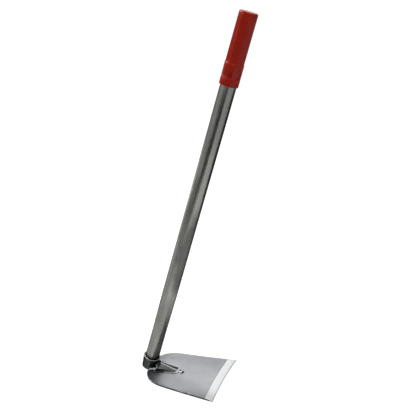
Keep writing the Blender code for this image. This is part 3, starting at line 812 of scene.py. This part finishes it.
def blade_grids(bm):
    """The rows of points on the blade's underside and on its top."""
    outline = outline_points()
    lower, upper = [], []
    for x, half, hollow, thickness in blade_rows():
        low_row, high_row = [], []
        for column in range(BLADE_COLUMNS + 1):
            side = 2 * column / BLADE_COLUMNS - 1
            bent_x = x - EDGE_HOLLOW * hollow * (1 - side * side)
            if x == FRONT_X and column == BLADE_COLUMNS:
                bent_x += CORNER_REACH
                thickness = CORNER_THICKNESS
            lift = blade_lift(bent_x, half * side, outline)
            low_row.append(bm.verts.new((bent_x, half * side, lift)))
            high_row.append(bm.verts.new((bent_x, half * side, lift + thickness)))
        lower.append(low_row)
        upper.append(high_row)
    return lower, upper


def build_blade(finish):
    bm = bmesh.new()
    lower, upper = blade_grids(bm)
    for grid in (lower, upper):
        for row, after in zip(grid, grid[1:]):
            for j in range(BLADE_COLUMNS):
                bm.faces.new((row[j], row[j + 1], after[j + 1], after[j]))
    around = [(lower[0], upper[0]), (lower[-1], upper[-1])]
    around += [([row[j] for row in lower], [row[j] for row in upper]) for j in (0, -1)]
    rim = []
    for low_line, high_line in around:
        for j in range(len(low_line) - 1):
            bm.faces.new((low_line[j], low_line[j + 1], high_line[j + 1], high_line[j]))
            rim += [(low_line[j], low_line[j + 1]), (high_line[j], high_line[j + 1])]
    bmesh.ops.recalc_face_normals(bm, faces=bm.faces[:])
    bevel_row = upper[SHOULDER_ROWS + SIDE_ROWS]
    for start, end in zip(bevel_row, bevel_row[1:]):
        bm.edges.get((start, end)).smooth = False
    bmesh.ops.bevel(
        bm, geom=[bm.edges.get(pair) for pair in rim], offset=RIM_ROUNDING, segments=RIM_ROUNDING_STEPS,
        profile=0.5, affect="EDGES", clamp_overlap=True)
    blade = mesh_object("blade_plate", bm, finish)
    cut_notch(blade, finish)
    stand_for(blade, "blade")


def cut_notch(blade, finish):
    """Cuts the round place for the collar out of the rear edge."""
    bm = bmesh.new()
    place = Matrix.Translation((AXIS_X, 0, BLADE_TOP)) @ Matrix.Rotation(LEAN, 4, "Y")
    bmesh.ops.create_cone(
        bm, cap_ends=True, segments=NOTCH_SIDES, radius1=NOTCH_RADIUS, radius2=NOTCH_RADIUS,
        depth=NOTCH_DEPTH, matrix=place)
    cutter = mesh_object("notch_cutter", bm, finish)
    notched = blade.modifiers.new("notch", "BOOLEAN")
    notched.object, notched.operation, notched.solver = cutter, "DIFFERENCE", "EXACT"
    apply_modifiers(blade)
    bpy.data.objects.remove(cutter)


# The grip, with rounded corners

def handle_point(x, y, height):
    """A point beside the handle's axis, at a height along it."""
    return (
        AXIS_X + x * math.cos(LEAN) + height * math.sin(LEAN),
        y,
        BLADE_TOP + height * math.cos(LEAN) - x * math.sin(LEAN),
    )


def smooth_least(a, b, blend):
    """The lesser of two values, with the corner between them rounded."""
    share = min(max(0.5 + 0.5 * (b - a) / blend, 0.0), 1.0)
    return b + (a - b) * share - blend * share * (1 - share)


def grip_ring(height, inset, flat_share):
    """Points around the grip: round where flat_share is 0, with the flats where it is 1."""
    up_flats = max(height - GRIP_START - GRIP_LEDGE, 0.0) / (GRIP_END - GRIP_START - GRIP_LEDGE)
    corner = GRIP_RADIUS - GRIP_TAPER * up_flats - inset
    step = 2 * math.pi / GRIP_FLATS
    ring = []
    for i in range(GRIP_SIDES):
        angle = 2 * math.pi * i / GRIP_SIDES
        flat = (GRIP_FLAT - inset) / math.cos(angle % step - step / 2)
        radius = corner + (smooth_least(corner, flat, GRIP_CORNER_BLEND) - corner) * flat_share
        turned = angle + GRIP_TURN
        ring.append(handle_point(radius * math.cos(turned), radius * math.sin(turned), height))
    return ring


def grip_rings():
    """Rings from the bore's inner end, around the mouth, and up the outside to the closed end."""
    wall = GRIP_RADIUS - GRIP_BORE
    rings = [grip_ring(GRIP_END - GRIP_END_WALL, wall, 0.0)]
    for i in range(MOUTH_STEPS + 1):
        bend = math.pi / 2 * (2 * i / MOUTH_STEPS - 1)
        height = GRIP_START + GRIP_MOUTH_ROUNDING * (1 - math.cos(bend))
        inset = GRIP_MOUTH_ROUNDING * (1 - math.sin(bend))
        rings.append(grip_ring(height, min(inset, wall), 0.0))
    for i in range(GROOVE_STEPS + 1):
        across = 2 * i / GROOVE_STEPS - 1
        inset = GRIP_GROOVE_DEPTH * (1 - across * across) ** GRIP_GROOVE_ROUNDNESS
        rings.append(grip_ring(GRIP_START + GRIP_GROOVE + GRIP_GROOVE_HALF * across, inset, 0.0))
    for i in range(LEDGE_STEPS + 1):
        share = i / LEDGE_STEPS
        height = GRIP_START + GRIP_LEDGE + GRIP_LEDGE_HEIGHT * share
        rings.append(grip_ring(height, 0.0, smooth_share(share)))
    flats_start = GRIP_START + GRIP_LEDGE + GRIP_LEDGE_HEIGHT
    flats_end = GRIP_END - GRIP_TOP_ROUNDING
    for i in range(1, FLAT_STEPS + 1):
        rings.append(grip_ring(flats_start + (flats_end - flats_start) * i / FLAT_STEPS, 0.0, 1.0))
    for i in range(1, TOP_STEPS + 1):
        bend = math.pi / 2 * i / TOP_STEPS
        height = GRIP_END - GRIP_TOP_ROUNDING * (1 - math.sin(bend))
        rings.append(grip_ring(height, GRIP_TOP_ROUNDING * (1 - math.cos(bend)), 1.0))
    rings.append(grip_ring(GRIP_END, GRIP_TOP_ROUNDING + GRIP_TOP_FACE_INSET, 1.0))
    return rings


def build_grip(finish):
    bm = bmesh.new()
    rows = [[bm.verts.new(p) for p in ring] for ring in grip_rings()]
    for row, after in zip(rows, rows[1:]):
        for i in range(GRIP_SIDES):
            j = (i + 1) % GRIP_SIDES
            bm.faces.new((row[i], row[j], after[j], after[i]))
    bm.faces.new(rows[0])
    bm.faces.new(rows[-1])
    bmesh.ops.recalc_face_normals(bm, faces=bm.faces[:])
    stand_for(mesh_object("grip_sleeve", bm, finish), "grip")


# Weld beads, run out over their neighbours and rippled

def build_weld(node, finish, along, stretch=1.0):
    """A bead in the CAD bead's place. along gives a point's way along the run and across its face."""
    bm = bmesh.new()
    bm.from_mesh(NODES[node].data)
    if node == "gusset_collar_weld":
        for side in (1, -1):
            for (x, y, z), radius in CORNER_RUN:
                place = Matrix.Translation((x, side * y, z))
                bmesh.ops.create_icosphere(bm, subdivisions=3, radius=radius, matrix=place)
    bead = mesh_object(node + "_bead", bm, finish)
    cells = bead.modifiers.new("cells", "REMESH")
    cells.mode, cells.voxel_size = "VOXEL", WELD_CELL
    rounder = bead.modifiers.new("rounder", "SMOOTH")
    rounder.factor, rounder.iterations = 0.5, ROUNDER_PASSES
    apply_modifiers(bead)
    mesh = bead.data
    moved = [rippled(vertex, *along(vertex.co)) for vertex in mesh.vertices]
    for vertex, target in zip(mesh.vertices, moved):
        target.x = GUSSET_REAR_X + (target.x - GUSSET_REAR_X) * stretch
        if node == "gusset_tip_weld":
            target.x += TIP_SHIFT[0]
            target.y += TIP_SHIFT[1]
            target.z = BLADE_TOP + (target.z - BLADE_TOP) * TIP_FLATNESS
        vertex.co = target
    mesh.shade_smooth()
    mesh.materials.clear()
    mesh.materials.append(finish)
    stand_for(bead, node)


def rippled(vertex, run, across):
    """Where a point of the bead goes: out along its normal, by the spread, a ripple and small lumps."""
    place = vertex.co
    wander = RIPPLE_WANDER * noise.noise(place * WANDER_SCALE)
    phase = (run / RIPPLE_PITCH + RIPPLE_CURVE * across * across + wander) % 1.0
    ripple = 1 - phase * phase
    lumps = noise.fractal(place * LUMP_SCALE, *LUMP_GRADES)
    return place + vertex.normal * (WELD_SPREAD + RIPPLE_DEPTH * (ripple - 0.5) + LUMP_HEIGHT * lumps)


def along_gusset(place):
    return place.x, (place.z - BLADE_TOP - GUSSET_BEAD_MIDDLE) / GUSSET_BEAD_LEG


def along_collar(place):
    turn = math.atan2(place.y, place.x - AXIS_X)
    return turn * COLLAR_BEAD_RADIUS, (place.z - BLADE_TOP - COLLAR_BEAD_MIDDLE) / BEAD_LEG


def along_arch(place):
    turn = math.atan2(place.y, place.z - BLADE_TOP)
    return turn * ARCH_RADIUS, (place.x - GUSSET_REAR_X) / BEAD_LEG


def along_tip(place):
    return (place - Vector((GUSSET_REAR_X, 0, BLADE_TOP))).length, place.y / NUGGET_HALF


# Floor, cards, world, lamps and camera

def floor_finish():
    """Pale paper with a white glow, strong to the eye and weak in gloss. It keeps the hoe's soft shadow."""
    g = Graph("floor_finish")
    g.tree.nodes.remove(g.shader)
    out = g.tree.nodes["Material Output"]
    lit = g.node("ShaderNodeBsdfDiffuse")
    paper = g.noise(g.position(), scale=9, detail=3, roughness=0.5)
    g.link(g.ramp(paper, PAPER_TONES), lit.inputs["Color"])
    glow = g.node("ShaderNodeEmission")
    glow.inputs["Color"].default_value = (1, 1, 1, 1)
    glow.inputs["Strength"].default_value = FLOOR_GLOW
    path = g.node("ShaderNodeLightPath")
    in_gloss = g.math("MAXIMUM", path.outputs["Is Glossy Ray"], path.outputs["Is Transmission Ray"])
    to_eye = product(g, path.outputs["Is Camera Ray"], EYE_SHARE)
    share = g.math("MAXIMUM", to_eye, product(g, in_gloss, GLOSS_SHARE))
    both = g.node("ShaderNodeMixShader")
    g.link(share, both.inputs[0])
    g.link(lit.outputs[0], both.inputs[1])
    g.link(glow.outputs[0], both.inputs[2])
    g.link(both.outputs[0], out.inputs["Surface"])
    return g.material


def build_stage():
    """Paper floor that curves up into a backdrop far behind the hoe."""
    profile = []
    for i in range(FLOOR_STEPS + 1):
        profile.append((FLOOR_NEAR_Y + (FLOOR_FAR_Y - FLOOR_NEAR_Y) * i / FLOOR_STEPS, FLOOR_Z))
    for i in range(1, FLOOR_STEPS + 1):
        bend = math.pi / 2 * i / FLOOR_STEPS
        rise = BEND_RADIUS * (1 - math.cos(bend))
        profile.append((FLOOR_FAR_Y + BEND_RADIUS * math.sin(bend), rise + FLOOR_Z))
    profile.append((FLOOR_FAR_Y + BEND_RADIUS, BACKDROP_TOP))
    rows = [[(x, y, z) for x in FLOOR_ACROSS] for y, z in profile]
    grid_object("floor", rows, floor_finish())


def card_finish(name, first, last, height, density):
    """Black felt that thins out to nothing at its ends and its top."""
    g = Graph(name + "_finish")
    place = g.position()
    x, y, z = g.split(place)
    felt = g.noise(place, scale=900, detail=3, roughness=0.6)
    colour = g.ramp(felt, FELT_TONES)
    middle = math.radians((first + last) / 2)
    ahead = g.math("ADD", product(g, x, math.cos(middle)), product(g, y, math.sin(middle)))
    aside = g.math("SUBTRACT", product(g, y, math.cos(middle)), product(g, x, math.sin(middle)))
    turn = g.math("ABSOLUTE", g.math("ARCTAN2", aside, ahead))
    half = math.radians(last - first) / 2
    within, below = g.span(turn, half, half * CARD_CORE), g.span(z, height, height * CARD_CORE)
    g.link(product(g, density, within, below), g.shader.inputs["Alpha"])
    bump = g.bump(felt, strength=0.4, distance=0.001)
    return g.finish(colour, roughness=0.95, normal=bump, metallic=0.0, Specular_IOR_Level=0.0)


def build_card(name, distance, first, last, height, density):
    """A curved studio card that darkens a stretch of the reflections and that the eye doesn't see."""
    rows = []
    for level in (CARD_FOOT, height / 2, height):
        row = []
        for i in range(CARD_STEPS + 1):
            turn = math.radians(first + (last - first) * i / CARD_STEPS)
            row.append((distance * math.cos(turn), distance * math.sin(turn), level))
        rows.append(row)
    card = grid_object(name, rows, card_finish(name, first, last, height, density))
    card.visible_camera = card.visible_diffuse = card.visible_shadow = False


def area_light(name, place, target, size, power, in_gloss):
    data = bpy.data.lights.new(name, "AREA")
    data.shape = "RECTANGLE"
    data.size, data.size_y = size
    data.energy = power
    made = bpy.data.objects.new(name, data)
    made.location = place
    made.rotation_euler = (Vector(target) - Vector(place)).to_track_quat("-Z", "Y").to_euler()
    made.visible_glossy = in_gloss
    SCENE.collection.objects.link(made)


def build_world():
    """Soft surrounding light, dimmer near the horizon than overhead. The eye sees it white."""
    world = bpy.data.worlds.new("studio")
    SCENE.world = world
    world.use_nodes = True
    tree = world.node_tree
    back = tree.nodes["Background"]
    back.inputs["Color"].default_value = (1, 1, 1, 1)
    place = tree.nodes.new("ShaderNodeTexCoord")
    axes = tree.nodes.new("ShaderNodeSeparateXYZ")
    tree.links.new(place.outputs["Generated"], axes.inputs[0])
    grade = tree.nodes.new("ShaderNodeMapRange")
    grade.interpolation_type = "SMOOTHSTEP"
    tree.links.new(axes.outputs["Z"], grade.inputs["Value"])
    grade.inputs["From Max"].default_value = OVERHEAD_FROM
    grade.inputs["To Min"].default_value = HORIZON_LIGHT
    grade.inputs["To Max"].default_value = OVERHEAD_LIGHT
    path = tree.nodes.new("ShaderNodeLightPath")
    seen = tree.nodes.new("ShaderNodeMath")
    seen.operation = "MAXIMUM"
    tree.links.new(grade.outputs["Result"], seen.inputs[0])
    tree.links.new(path.outputs["Is Camera Ray"], seen.inputs[1])
    tree.links.new(seen.outputs[0], back.inputs["Strength"])


def build_camera():
    data = bpy.data.cameras.new("camera")
    data.sensor_width = SENSOR_WIDTH
    data.lens = FOCAL_PIXELS / PICTURE_PIXELS * SENSOR_WIDTH
    made = bpy.data.objects.new("camera", data)
    made.location = CAMERA_PLACE
    made.rotation_euler = (CAMERA_TILT, 0, CAMERA_TURN)
    SCENE.collection.objects.link(made)
    SCENE.camera = made


def main():
    build_blade(blade_finish())
    dress("gusset", gusset_finish())
    dress("collar", collar_finish())
    dress("handle_tube", tube_finish())
    build_grip(grip_finish())
    weld = weld_finish()
    for side in ("near", "far"):
        build_weld("collar_weld_" + side, weld, along_collar)
        build_weld("gusset_weld_" + side, weld, along_gusset, GUSSET_BEAD_STRETCH)
    build_weld("gusset_collar_weld", weld, along_arch)
    build_weld("gusset_tip_weld", weld, along_tip)
    dress("handle_weld", weld)
    build_stage()
    build_world()
    for name, card in CARDS.items():
        build_card(name, *card)
    for name, lamp in LAMPS.items():
        area_light(name, *lamp)
    build_camera()
    SCENE.view_settings.view_transform = "Standard"


main()
